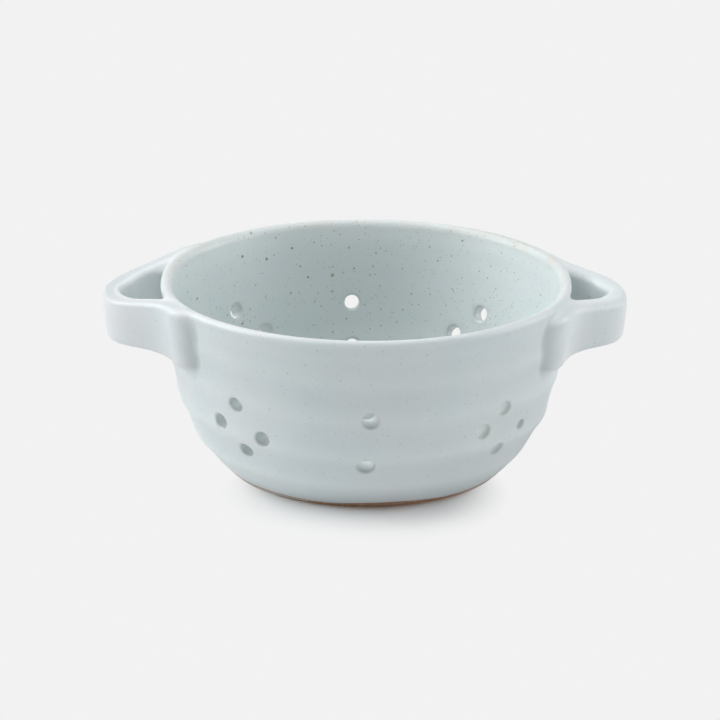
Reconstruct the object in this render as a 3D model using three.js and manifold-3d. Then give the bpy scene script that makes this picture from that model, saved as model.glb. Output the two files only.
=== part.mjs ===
// Stoneware berry bowl: a small thrown colander on a bare foot ring, with two strap handles.
// Millimetres, +Z up. The origin is the middle of the foot on the table, +X runs out through
// the right handle and the front is towards -Y.
import * as THREE from 'three';
import { mergeVertices } from 'three/addons/utils/BufferGeometryUtils.js';
import { ParametricGeometry } from 'three/addons/geometries/ParametricGeometry.js';
import Module from 'manifold-3d';

const wasm = await Module();
wasm.setup();

// Thrown wall: one curve from the table to the lip
const rimHeight = 70.7;
const rimRadius = 76; // outside of the lip
const rimLean = 9.6; // degrees that the upper wall leans out
const rimRun = 35.4; // pull of that lean on the curve
const footRadius = 50.8; // outside of the wall at the table
const footRise = 42.8; // degrees that the wall climbs at from the table
const footRun = 26.4; // pull of that climb on the curve
const lipThickness = 4.2; // the lip is a full round of this width
const wallThickness = 6; // where the wall leaves the floor, thinning up to the lip
const floorThickness = 5.8;
const coveHeight = 5; // rise of the round between the floor and the wall

// Turned foot
const footHeight = 1.4; // bare clay below the edge of the glaze
const footWidth = 10.5;
const recessDepth = 3.2; // table to the underside of the floor

// Drain holes, punched by hand in groups that alternate round the wall: four in a diamond or two
const holeDiameter = 5.8;
const groupRise = 9.4; // from a group's middle to its top and bottom holes
const groupSpread = 9.7; // from a diamond's middle to its side holes
const floorHoleRing = 22; // radius of the ring of holes in the floor
const floorHoleCount = 4;
const punchOverrun = 4; // that the punch goes past each face of the clay
// azimuth in degrees from the front, positive to the right; skew lifts the left hole of a diamond
const diamonds = [
  { azimuth: -40.3, height: 30.4, skew: 1.4 },
  { azimuth: 45.2, height: 29.2, skew: 1.2 },
  { azimuth: 138.8, height: 30, skew: 0.3 },
  { azimuth: -134.2, height: 31.8, skew: -1 },
];
const pairs = [
  { azimuth: 0.4, height: 30.6 },
  { azimuth: 90, height: 30.6 },
  { azimuth: 184.6, height: 29.6 },
  { azimuth: -90, height: 30.6 },
];

// Strap handles, each a loop in plan whose ends turn out along the wall as tabs
const handleReach = 20.8; // from the outside of the lip to the outside of the loop
const handleDrop = 5.1; // from the rim down to the top of the loop
const rootDrop = 0.9; // from the rim down to the top of the roots
const strapHeight = 17.8;
const rootHeight = 23.6;
const strapThickness = 6.8;
const rootThickness = 9;
const tabThickness = 4.4;
const tabLength = 9;
const rootRun = 17.4; // pull of the wall's direction on the end of the loop
const handleLean = 4.5; // degrees that the loop leans out at its tip, where the roots lean as the wall does
const heightEase = 2.5; // power by which the strap deepens from the tip to the roots
const edgeRadius = 2;
const slipGap = 0.3; // slip joint between a strap and the wall
// heading and turn in degrees, rootAngle from the middle of the loop to where it meets the wall
const handles = [
  { name: 'left_handle', heading: 180, turn: 0, rootAngle: 27.5, loopRun: 20.5 },
  { name: 'right_handle', heading: 0, turn: 2, rootAngle: 24.5, loopRun: 21 },
];

// Facets
const roundSteps = 64;
const wallSteps = 11;
const lipSteps = 5;
const coveSteps = 4;
const holeSides = 12;
const strapSteps = 40;
const strapSides = 20;
const halvings = 40; // rounds of the search for a height on the wall's curve

const glaze = { color: 0xcad5d5, roughness: 0.35, metalness: 0 };
const bareClay = { color: 0x8a6a52, roughness: 0.85, metalness: 0 };

const lipRadius = lipThickness / 2;
const floorTop = recessDepth + floorThickness;
const footInside = footRadius - footWidth;
const handleTop = rimHeight - handleDrop;
const lean = THREE.MathUtils.degToRad(rimLean);
const tipLean = THREE.MathUtils.degToRad(handleLean);

// The outside of the wall in the half plane of radius and height
function outsideCurve() {
  const rise = THREE.MathUtils.degToRad(footRise);
  const foot = new THREE.Vector2(footRadius, 0);
  const top = lipPoint(-lean, lipRadius);
  return new THREE.CubicBezierCurve(
    foot,
    new THREE.Vector2(foot.x + footRun * Math.cos(rise), foot.y + footRun * Math.sin(rise)),
    new THREE.Vector2(top.x - rimRun * Math.sin(lean), top.y - rimRun * Math.cos(lean)),
    top,
  );
}

// A point on the round of the lip, at an angle up from straight out
function lipPoint(angle, radius) {
  return new THREE.Vector2(
    rimRadius - lipRadius + radius * Math.cos(angle),
    rimHeight - lipRadius + radius * Math.sin(angle),
  );
}

const wall = outsideCurve();

// A point of the wall's curve pushed outwards, or inwards where the distance is negative
function wallPoint(t, distance) {
  const point = wall.getPoint(t);
  const tangent = wall.getTangent(t);
  return new THREE.Vector2(point.x + tangent.y * distance, point.y - tangent.x * distance);
}

// Where along the curve the pushed wall passes a height, by halving
function wallAt(height, distance = () => 0) {
  let low = 0;
  let high = 1;
  for (let i = 0; i < halvings; i += 1) {
    const middle = (low + high) / 2;
    if (wallPoint(middle, distance(middle)).y < height) {
      low = middle;
    } else {
      high = middle;
    }
  }
  return (low + high) / 2;
}

// Depth of the inside face behind the outside one, thinning from the floor to the lip
function insideDepth(t) {
  return -THREE.MathUtils.lerp(wallThickness, lipThickness, t);
}

// Points of the outside from a height up to a chosen angle round the lip, pushed out by a distance
function outsidePoints(fromHeight, lipEnd, distance) {
  const points = [];
  const start = wallAt(fromHeight, () => distance);
  for (let i = 0; i < wallSteps; i += 1) {
    points.push(wallPoint(THREE.MathUtils.lerp(start, 1, i / wallSteps), distance));
  }
  for (let i = 0; i <= lipSteps; i += 1) {
    points.push(lipPoint(THREE.MathUtils.lerp(-lean, lipEnd, i / lipSteps), lipRadius + distance));
  }
  return points;
}

// Points of the inside from the lip down the wall, round the cove and on to the middle of the floor
function insidePoints() {
  const points = [];
  const coveTop = wallAt(floorTop + coveHeight, insideDepth);
  for (let i = 1; i <= wallSteps; i += 1) {
    const t = THREE.MathUtils.lerp(1, coveTop, i / wallSteps);
    points.push(wallPoint(t, insideDepth(t)));
  }
  const end = points[points.length - 1];
  const slope = wall.getTangent(coveTop);
  const corner = new THREE.Vector2(end.x - (slope.x / slope.y) * (end.y - floorTop), floorTop);
  const floorEdge = new THREE.Vector2(corner.x - corner.distanceTo(end), floorTop);
  const cove = new THREE.QuadraticBezierCurve(end, corner, floorEdge);
  for (let i = 1; i <= coveSteps; i += 1) {
    points.push(cove.getPoint(i / coveSteps));
  }
  points.push(new THREE.Vector2(0, floorTop));
  return points;
}

// A profile of radius and height turned round the Z axis
function turned(points) {
  const geometry = new THREE.LatheGeometry(points, roundSteps);
  geometry.rotateX(Math.PI / 2);
  return geometry;
}

// A closed geometry as a solid for joining and cutting
function toSolid(geometry) {
  geometry.deleteAttribute('normal');
  geometry.deleteAttribute('uv');
  const merged = mergeVertices(geometry);
  const corners = merged.index.array;
  const triangles = [];
  for (let i = 0; i < corners.length; i += 3) {
    const [a, b, c] = [corners[i], corners[i + 1], corners[i + 2]];
    if (a !== b && b !== c && c !== a) {
      triangles.push(a, b, c);
    }
  }
  const vertProperties = new Float32Array(merged.attributes.position.array);
  const triVerts = new Uint32Array(triangles);
  return new wasm.Manifold(new wasm.Mesh({ numProp: 3, vertProperties, triVerts }));
}

function toGeometry(solid) {
  const mesh = solid.getMesh();
  const geometry = new THREE.BufferGeometry();
  geometry.setAttribute('position', new THREE.BufferAttribute(mesh.vertProperties, 3));
  geometry.setIndex(new THREE.BufferAttribute(mesh.triVerts, 1));
  geometry.computeVertexNormals();
  return geometry;
}

function namedMesh(name, geometry, finish) {
  const mesh = new THREE.Mesh(geometry, new THREE.MeshStandardMaterial(finish));
  mesh.name = name;
  return mesh;
}

// A round punch through the wall, square to it, at a height and a distance along from an azimuth
function wallPunch(azimuth, height, along) {
  const t = wallAt(height);
  const outside = wallPoint(t, 0);
  const depth = -insideDepth(t);
  const middle = wallPoint(t, -depth / 2);
  const out = outside.clone().sub(middle).normalize();
  const turn = THREE.MathUtils.degToRad(azimuth) + along / outside.x;
  const east = Math.sin(turn);
  const north = -Math.cos(turn);
  const axis = new THREE.Vector3(out.x * east, out.x * north, out.y);
  const geometry = punchGeometry(depth);
  geometry.applyQuaternion(new THREE.Quaternion().setFromUnitVectors(THREE.Object3D.DEFAULT_UP, axis));
  geometry.translate(middle.x * east, middle.x * north, middle.y);
  return toSolid(geometry);
}

function floorPunch(x, y) {
  const geometry = punchGeometry(floorThickness);
  geometry.rotateX(Math.PI / 2);
  geometry.translate(x, y, floorTop - floorThickness / 2);
  return toSolid(geometry);
}

function punchGeometry(depth) {
  const radius = holeDiameter / 2;
  return new THREE.CylinderGeometry(radius, radius, depth + 2 * punchOverrun, holeSides);
}

function drainPunches() {
  const punches = [floorPunch(0, 0)];
  for (const { azimuth, height } of [...diamonds, ...pairs]) {
    punches.push(wallPunch(azimuth, height + groupRise, 0));
    punches.push(wallPunch(azimuth, height - groupRise, 0));
  }
  for (const { azimuth, height, skew } of diamonds) {
    punches.push(wallPunch(azimuth, height + skew, -groupSpread));
    punches.push(wallPunch(azimuth, height - skew, groupSpread));
  }
  for (let i = 0; i < floorHoleCount; i += 1) {
    const angle = (2 * Math.PI * (i + 0.5)) / floorHoleCount;
    punches.push(floorPunch(floorHoleRing * Math.cos(angle), floorHoleRing * Math.sin(angle)));
  }
  return punches;
}

// Wall, lip and floor in one, flat underneath where the foot ring joins it
function bowlBody() {
  const profile = [
    new THREE.Vector2(0, recessDepth),
    new THREE.Vector2(footInside, recessDepth),
    new THREE.Vector2(footInside, footHeight),
    ...outsidePoints(footHeight, Math.PI - lean, 0),
    ...insidePoints(),
  ];
  let solid = toSolid(turned(profile));
  for (const punch of drainPunches()) {
    solid = solid.subtract(punch);
  }
  return namedMesh('bowl_body', toGeometry(solid), glaze);
}

// The bare ring that carries on the line of the wall down to the table
function footRing() {
  const profile = [
    new THREE.Vector2(footInside, 0),
    new THREE.Vector2(footRadius, 0),
    wallPoint(wallAt(footHeight), 0),
    new THREE.Vector2(footInside, footHeight),
    new THREE.Vector2(footInside, 0),
  ];
  return namedMesh('foot_ring', turned(profile), bareClay);
}

// Half of a strap's middle line in plan: from the tip of the loop to the wall, then along the wall
function strapPath({ rootAngle, loopRun }) {
  const tip = rimRadius + handleReach - strapThickness / 2;
  const ring = wall.getPoint(wallAt(handleTop)).x;
  const root = THREE.MathUtils.degToRad(rootAngle);
  const onWall = new THREE.Vector2(Math.cos(root), Math.sin(root)).multiplyScalar(ring);
  const beforeWall = new THREE.Vector2(Math.sin(root), -Math.cos(root)).multiplyScalar(rootRun);
  const path = new THREE.CurvePath();
  path.add(new THREE.CubicBezierCurve(
    new THREE.Vector2(tip, 0),
    new THREE.Vector2(tip, loopRun),
    onWall.clone().add(beforeWall),
    onWall,
  ));
  path.add(new THREE.EllipseCurve(0, 0, ring, ring, root, root + tabLength / ring));
  return path;
}

// A strap on edge along its path: it thickens, rises, deepens and leans further out towards the roots,
// and thins again along the tabs; its section is a rectangle with round edges
function strapGeometry(handle) {
  const path = strapPath(handle);
  const loopShare = path.curves[0].getLength() / path.getLength();
  const lerp = THREE.MathUtils.lerp;
  const surface = (u, v, target) => {
    const step = Math.round(u * (strapSteps + 2)) - 1;
    const along = (2 * THREE.MathUtils.clamp(step, 0, strapSteps)) / strapSteps - 1;
    const share = Math.abs(along);
    const loop = Math.min(share / loopShare, 1);
    const tab = Math.max(share - loopShare, 0) / (1 - loopShare);
    const thickness = lerp(lerp(strapThickness, rootThickness, loop), tabThickness, tab);
    const height = lerp(strapHeight, rootHeight, loop ** heightEase);
    const top = rimHeight - lerp(handleDrop, rootDrop, THREE.MathUtils.smoothstep(loop, 0, 1));
    const isCap = step < 0 || step > strapSteps;
    const angle = (2 * Math.PI * (v * strapSides + 0.5)) / strapSides;
    const across = Math.sign(Math.cos(angle)) * (thickness / 2 - edgeRadius) + edgeRadius * Math.cos(angle);
    const up = Math.sign(Math.sin(angle)) * (height / 2 - edgeRadius) + edgeRadius * Math.sin(angle);
    const z = top - height / 2 + (isCap ? 0 : up);
    const offset = (isCap ? 0 : across) + (z - handleTop) * Math.tan(lerp(tipLean, lean, loop));
    const point = path.getPoint(share);
    const tangent = path.getTangent(share);
    const side = along < 0 ? -1 : 1;
    target.set(point.x + tangent.y * offset, side * (point.y - tangent.x * offset), z);
  };
  const geometry = new ParametricGeometry(surface, strapSteps + 2, strapSides);
  geometry.rotateZ(THREE.MathUtils.degToRad(handle.heading + handle.turn));
  return geometry;
}

// The filled outline of the bowl with the slip gap round it, which trims the strap's ends
function wallEnvelope() {
  const profile = [
    new THREE.Vector2(0, 0),
    ...outsidePoints(0, Math.PI / 2, slipGap),
    new THREE.Vector2(0, rimHeight + slipGap),
  ];
  return toSolid(turned(profile));
}

function strapHandle(handle, envelope) {
  const solid = toSolid(strapGeometry(handle)).subtract(envelope);
  return namedMesh(handle.name, toGeometry(solid), glaze);
}

const berryBowl = new THREE.Group();
const envelope = wallEnvelope();
berryBowl.add(bowlBody());
berryBowl.add(footRing());
for (const handle of handles) {
  berryBowl.add(strapHandle(handle, envelope));
}

export default berryBowl;
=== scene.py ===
import math

import bpy
import numpy as np
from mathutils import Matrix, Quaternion, Vector


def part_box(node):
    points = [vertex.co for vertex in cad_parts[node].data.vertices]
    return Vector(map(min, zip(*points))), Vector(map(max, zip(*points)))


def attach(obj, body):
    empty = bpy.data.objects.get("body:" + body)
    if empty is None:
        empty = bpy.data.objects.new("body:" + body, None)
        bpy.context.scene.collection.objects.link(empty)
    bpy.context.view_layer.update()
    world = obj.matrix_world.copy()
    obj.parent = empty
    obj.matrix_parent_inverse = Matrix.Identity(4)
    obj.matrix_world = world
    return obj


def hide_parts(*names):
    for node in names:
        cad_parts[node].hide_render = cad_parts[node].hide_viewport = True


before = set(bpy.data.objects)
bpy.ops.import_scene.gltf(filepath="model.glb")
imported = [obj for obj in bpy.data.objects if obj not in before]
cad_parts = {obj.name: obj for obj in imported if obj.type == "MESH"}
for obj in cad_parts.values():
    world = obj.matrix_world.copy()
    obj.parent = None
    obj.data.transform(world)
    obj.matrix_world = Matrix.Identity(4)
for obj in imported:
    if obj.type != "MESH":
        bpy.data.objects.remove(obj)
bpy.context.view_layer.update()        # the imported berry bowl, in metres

mm = 0.001               # shapes are worked out in millimetres, meshes are in metres
scene = bpy.context.scene
bowlTop = np.array(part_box("bowl_body")[1]) / mm
footTop = np.array(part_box("foot_ring")[1]) / mm


# Small tools

def bezier(corners, share):
    # cubic curve: the four corners weighted by the cubic powers of share and one minus share
    t = np.asarray(share, float)[..., None]
    first, second, third, last = corners
    return (1 - t) ** 3 * first + 3 * (1 - t) ** 2 * t * second + 3 * (1 - t) * t ** 2 * third + t ** 3 * last


def bezierSlope(corners, share):
    # direction of that curve: the three sides weighted by the squares of share and one minus share, made unit
    t = np.asarray(share, float)[..., None]
    first, second, third, last = corners
    slope = (1 - t) ** 2 * (second - first) + 2 * (1 - t) * t * (third - second) + t ** 2 * (last - third)
    return slope / np.linalg.norm(slope, axis=-1, keepdims=True)


def ease(share):
    # soft step: three times the square less twice the cube, held between nought and one
    t = np.clip(share, 0, 1)
    return t * t * (3 - 2 * t)


def between(value, start, end):
    # that step, from nought at start to one at end, either way round
    return ease((value - start) / (end - start))


def bell(value, middle, width):
    # bell curve: e to the power of minus the square of the distance from the middle over the width
    return np.exp(-((value - middle) / width) ** 2)


def blend(pair, share):
    # from the first of a pair to the second, evenly
    return pair[0] + (pair[1] - pair[0]) * share


def meshPiece(name, points, faces, marks, material):
    # points in millimetres, faces as lists of corners, marks as one number per point under each name
    mesh = bpy.data.meshes.new(name)
    mesh.from_pydata((points * mm).tolist(), [], faces)
    mesh.polygons.foreach_set("use_smooth", np.ones(len(mesh.polygons), bool))
    for markName, values in marks.items():
        mark = mesh.attributes.new(markName, "FLOAT", "POINT")
        mark.data.foreach_set("value", np.asarray(values, np.float32))
    mesh.materials.append(material)
    mesh.update()
    piece = bpy.data.objects.new(name, mesh)
    scene.collection.objects.link(piece)
    print("made", name, "with", sum(len(face) - 2 for face in faces), "triangles")
    return piece


# Glaze and clay

# a noise is given by its scale, detail and roughness, and what is made of it by the two levels that it goes
# between and by what it goes from and to

glazeLook = {
    "cool": (0.575, 0.66, 0.68, 1),
    "pale": (0.635, 0.70, 0.715, 1),
    "clouds": (24, 6.0, 0.6),
    "cloudShare": (0.3, 0.7),
    "insideTint": (0.665, 0.73, 0.728, 1),
    "insideShare": 0.6,
    "blush": (0.70, 0.655, 0.69, 1),        # faint rosy clouds
    "blushNoise": (31, 4.0),
    "blushLeast": 0.1,
    "blushShare": (0.35, 0.7, 0.3, 1.3),
    "thinTint": (0.62, 0.55, 0.45, 1),      # where the glaze runs thin over an edge
    "thinNoise": (140, 3.0),
    "thinShare": (0.35, 0.7, 0.1, 0.75),
    "litPale": (0.88, 0.92, 0.92, 1),        # painted light in the holes, on the lip, low on the wall and on the handles, and pale glaze on the rings' crests
    "litPaleShare": 0.85,
    "thickAndShadeTint": (0.33, 0.40, 0.39, 1),      # painted shade in the holes, corners, on the floor, up the wall and on the shaded lip, and thick glaze in the rings' grooves
    # specks: cells to the metre, radius in cells, power of their sizes, strength outside and inside, colour
    "fine": (820, 0.32, 1.3, (0.2, 0.5), (0.25, 0.22, 0.12, 1)),
    "small": (480, 0.25, 1.4, (0.3, 0.75), (0.25, 0.22, 0.12, 1)),
    "large": (320, None, 1.4, (0.25, 0.9), (0.21, 0.16, 0.07, 1)),
    # the large ones' radius differs from patch to patch, outside and inside, and from one place in metres to
    # another across the bowl and up it
    "largePatch": 30,
    "largeRadius": (0.35, 0.65, 0.18, 0.28),
    "largeInside": (0.62, 1.0),
    "largeAcross": (0.0, 0.06, 1.08, 0.8),
    "largeUp": (0.025, 0.065, 0.78, 1.06),
    "speckEdge": 0.55,            # where a speck begins to fade, of its radius
    "speckFaint": 0.35,           # strength of the faintest
    "ragged": (3, 0.18),          # noise that makes them ragged, its scale and reach by the cell
    "glossNoise": (60, 3.0),
    "roughness": (0.3, 0.7, 0.29, 0.39),
    "skinScale": 330,             # slight unevenness
    "skin": (0.12, 0.0004),       # its strength and its height in metres
    "speckSunk": 0.5,
    "coat": (0.15, 0.15),         # weight and roughness
}

clayLook = {
    "dark": (0.34, 0.20, 0.13, 1),
    "light": (0.52, 0.34, 0.23, 1),
    "grainNoise": (900, 4.0, 0.65),
    "grainShare": (0.3, 0.7),
    "roughness": (0.2, 0.8, 0.75, 0.95),
    "patchScale": 70,
    "patchShare": (0.45, 0.75, 0.0, 0.4),
    "grain": (0.35, 0.0003),      # strength of the bumps and their height in metres
}


class Nodes:
    # shorthand for a material's node tree

    def __init__(self, name):
        self.material = bpy.data.materials.new(name)
        self.material.use_nodes = True
        self.tree = self.material.node_tree
        self.shader = self.tree.nodes["Principled BSDF"]
        self.place = self.add("ShaderNodeTexCoord").outputs["Object"]

    def add(self, kind, **settings):
        node = self.tree.nodes.new(kind)
        for key, value in settings.items():
            setattr(node, key, value)
        return node

    def join(self, start, end):
        if hasattr(start, "is_linked"):
            self.tree.links.new(start, end)
        else:
            end.default_value = start

    def noise(self, scale, detail=2.0, roughness=0.5):
        node = self.add("ShaderNodeTexNoise")
        self.join(self.place, node.inputs["Vector"])
        node.inputs["Scale"].default_value = scale
        node.inputs["Detail"].default_value = detail
        node.inputs["Roughness"].default_value = roughness
        return node.outputs["Fac"]

    def spread(self, value, low, high, toLow=0.0, toHigh=1.0):
        node = self.add("ShaderNodeMapRange", interpolation_type="SMOOTHSTEP")
        for start, socket in zip((value, low, high, toLow, toHigh), node.inputs):
            self.join(start, socket)
        return node.outputs["Result"]

    def sum(self, operation, first, second):
        node = self.add("ShaderNodeMath", operation=operation)
        self.join(first, node.inputs[0])
        self.join(second, node.inputs[1])
        return node.outputs["Value"]

    def times(self, first, second):
        return self.sum("MULTIPLY", first, second)

    def mix(self, share, first, second):
        node = self.add("ShaderNodeMix", data_type="RGBA")
        self.join(share, node.inputs["Factor"])
        self.join(first, node.inputs[6])
        self.join(second, node.inputs[7])
        return node.outputs[2]

    def mark(self, name):
        return self.add("ShaderNodeAttribute", attribute_name=name).outputs["Fac"]

    def specks(self, scale, radius, power):
        # ragged specks: the distance to each cell's own point, cut off at a radius that differs cell by cell,
        # on a place that a fine noise shifts a little
        look = glazeLook
        finer, reach = look["ragged"]
        ragged = self.add("ShaderNodeTexNoise")
        self.join(self.place, ragged.inputs["Vector"])
        ragged.inputs["Scale"].default_value = finer * scale
        shift = self.add("ShaderNodeVectorMath", operation="MULTIPLY_ADD")
        self.join(ragged.outputs["Color"], shift.inputs[0])
        shift.inputs[1].default_value = (reach / scale,) * 3
        self.join(self.place, shift.inputs[2])
        cells = self.add("ShaderNodeTexVoronoi")
        self.join(shift.outputs["Vector"], cells.inputs["Vector"])
        cells.inputs["Scale"].default_value = scale
        lot = self.add("ShaderNodeSeparateColor")
        self.join(cells.outputs["Color"], lot.inputs["Color"])
        size = self.times(self.sum("POWER", lot.outputs["Red"], power), radius)
        spots = self.spread(cells.outputs["Distance"], self.times(size, look["speckEdge"]), size, 1.0, 0.0)
        return self.times(spots, self.spread(lot.outputs["Green"], 0.0, 1.0, look["speckFaint"], 1.0))

    def bump(self, height, strength, distance):
        node = self.add("ShaderNodeBump")
        node.inputs["Strength"].default_value = strength
        node.inputs["Distance"].default_value = distance
        self.join(height, node.inputs["Height"])
        self.join(node.outputs["Normal"], self.shader.inputs["Normal"])


def makeGlaze():
    # tints laid over one another by the marks of the pieces, some of them painted light and shade, then three
    # sizes of specks, and a slight relief
    look = glazeLook
    nodes = Nodes("speckled_glaze")
    inside = nodes.mark("inside")
    clouds = nodes.noise(*look["clouds"])
    colour = nodes.mix(nodes.spread(clouds, *look["cloudShare"]), look["cool"], look["pale"])
    colour = nodes.mix(nodes.times(inside, look["insideShare"]), colour, look["insideTint"])
    blush = nodes.spread(nodes.noise(*look["blushNoise"]), *look["blushShare"])
    rosy = nodes.times(nodes.sum("ADD", nodes.mark("rosy"), look["blushLeast"]), blush)
    rosy = nodes.times(rosy, nodes.sum("SUBTRACT", 1.0, inside))
    colour = nodes.mix(rosy, colour, look["blush"])
    thin = nodes.spread(nodes.noise(*look["thinNoise"]), *look["thinShare"])
    colour = nodes.mix(nodes.times(nodes.mark("thin"), thin), colour, look["thinTint"])
    # painted light, and pale glaze on the rings' crests
    colour = nodes.mix(nodes.times(nodes.mark("paleAndLit"), look["litPaleShare"]), colour, look["litPale"])
    # painted shade, and thick glaze in the rings' grooves
    colour = nodes.mix(nodes.mark("deep"), colour, look["thickAndShadeTint"])
    place = nodes.add("ShaderNodeSeparateXYZ")
    nodes.join(nodes.place, place.inputs["Vector"])
    large = nodes.spread(nodes.noise(look["largePatch"]), *look["largeRadius"])
    large = nodes.times(large, nodes.spread(inside, 0.0, 1.0, *look["largeInside"]))
    large = nodes.times(large, nodes.spread(place.outputs["X"], *look["largeAcross"]))
    large = nodes.times(large, nodes.spread(place.outputs["Z"], *look["largeUp"]))
    for scale, radius, power, strength, tint in (look["fine"], look["small"], look["large"]):
        specks = nodes.specks(scale, radius or large, power)
        specks = nodes.times(specks, nodes.spread(inside, 0.0, 1.0, *strength))
        colour = nodes.mix(specks, colour, tint)
    nodes.join(colour, nodes.shader.inputs["Base Color"])
    gloss = nodes.spread(nodes.noise(*look["glossNoise"]), *look["roughness"])
    nodes.join(gloss, nodes.shader.inputs["Roughness"])
    # the last of the specks, the large ones, lie a little sunk
    skin = nodes.sum("ADD", nodes.noise(look["skinScale"]), nodes.times(specks, -look["speckSunk"]))
    nodes.bump(skin, *look["skin"])
    weight, roughness = look["coat"]
    nodes.shader.inputs["Coat Weight"].default_value = weight
    nodes.shader.inputs["Coat Roughness"].default_value = roughness
    return nodes.material


def makeClay():
    # fine grain between two browns, darker in patches, rough and dry
    look = clayLook
    nodes = Nodes("bare_clay")
    grain = nodes.noise(*look["grainNoise"])
    colour = nodes.mix(nodes.spread(grain, *look["grainShare"]), look["dark"], look["light"])
    patches = nodes.spread(nodes.noise(look["patchScale"]), *look["patchShare"])
    colour = nodes.mix(patches, colour, look["dark"])
    nodes.join(colour, nodes.shader.inputs["Base Color"])
    nodes.join(nodes.spread(grain, *look["roughness"]), nodes.shader.inputs["Roughness"])
    nodes.bump(grain, *look["grain"])
    return nodes.material


glaze = makeGlaze()
bareClay = makeClay()
print("glaze and clay mixed")


# Thrown bowl

bowl = {
    "rimHeight": bowlTop[2],
    "rimRadius": bowlTop[0],      # outside of the lip
    "rimLean": 9.6,               # degrees that the upper wall leans out
    "rimRun": 35.4,               # pull of the lean on the wall's curve
    "footRadius": 50.8,           # outside of the wall at the table
    "footRise": 42.8,             # degrees that the wall climbs at from the table
    "footRun": 26.4,              # pull of the climb on the wall's curve
    "lipThickness": 4.2,
    "lipRound": 1.8,              # outer edge of the lip
    "lipEase": 3.2,               # height over which its inner edge is eased off
    "wallThickness": 6.0,
    "floorThickness": 5.8,
    "coveHeight": 5.0,
    "recessDepth": 3.2,           # table to the underside of the floor
    "recessRound": 1.2,
    "footInside": 40.3,
    "footHeight": footTop[2],
    "skin": 0.28,                 # glaze that laps over the foot
    "skinEdge": 0.75,             # height of its lower edge before it wanders
    "skinFade": 5.0,              # height by which the wander has died out
    "skinLow": 0.15,              # lowest that the edge comes to the table
    "skinRipple": (0.05, 23),     # height and count of its small waves
    # rises of the edge that bare the clay: degrees from the front, half width in degrees, height
    "bare": [(9, 30, 2.75), (104, 26, 1.2), (178, 30, 1.8), (258, 24, 1.0)],
    "ringPitch": 14.8,            # throwing rings climb as one slow screw
    "ringStart": 1.655,
    "ringDepth": (0.42, 0.24),    # low and high on the wall
    "ringChange": (20, 42),       # heights between which the depth changes
    "ringFoot": (4, 15),          # heights between which the rings come in
    "ringLip": (66, 58),          # and, downwards, come in below the lip
    "ringSecond": (0.25, 0.5),    # share and start of a wave of half the pitch
    "grooves": [(67.3, 1.3, 0.13), (64.2, 1.6, -0.06)],   # under the lip: height, half width, depth
    "grooveSwing": (0.3, 0.6),    # how much they differ round the bowl, and the turn where they are deepest
    "innerPitch": 9.0,
    "innerDepth": 0.03,
    "innerFoot": (10, 18),        # as for the rings outside
    "innerLip": (69, 64),
    "pressDepth": 0.9,            # the rim is drawn in a little where the handles stand off it
    "pressWidth": 0.24,
    "pressUp": (44, 62),          # heights between which that comes in
    "columns": 360,
}

# how the glaze lies on the bowl, with painted light and shade: shares, each with the two heights that it
# comes in between where it has them
lay = {
    "crests": 0.25,               # pale on the rings
    "low": (0.2, 26, 8),          # painted light low on the wall
    "grooves": 0.2,               # thick between the rings
    "high": (0.1, 34, 50),        # painted shade up the wall
    "lip": (70, 66),              # heights between which these come in below the lip
    "floor": (0.8, 17, 8),        # painted shade on the floor
    "edges": 0.8,                 # thin on the lower edge and round the middle hole
    "back": (math.pi, 0.45),      # the lip's painted highlight is strongest here: turn from the front, half width
    "shadedLip": (2.25, 0.5),          # and it is shaded here
    # painted highlight on the lip all round and at the back
    "lipHighlight": 0.18,
    "backHighlight": 0.3,
    "lipThin": (0.35, 0.75),      # all round, and where it is shaded
    # painted shade on the shaded lip
    "shadedLipDark": 0.15,
    "shadedLipLightBelow": 0.22,             # painted light on the inside below the shaded lip
    "shadedLipLightNear": (0.3, 60, 66),    # and close below it
}

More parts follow.
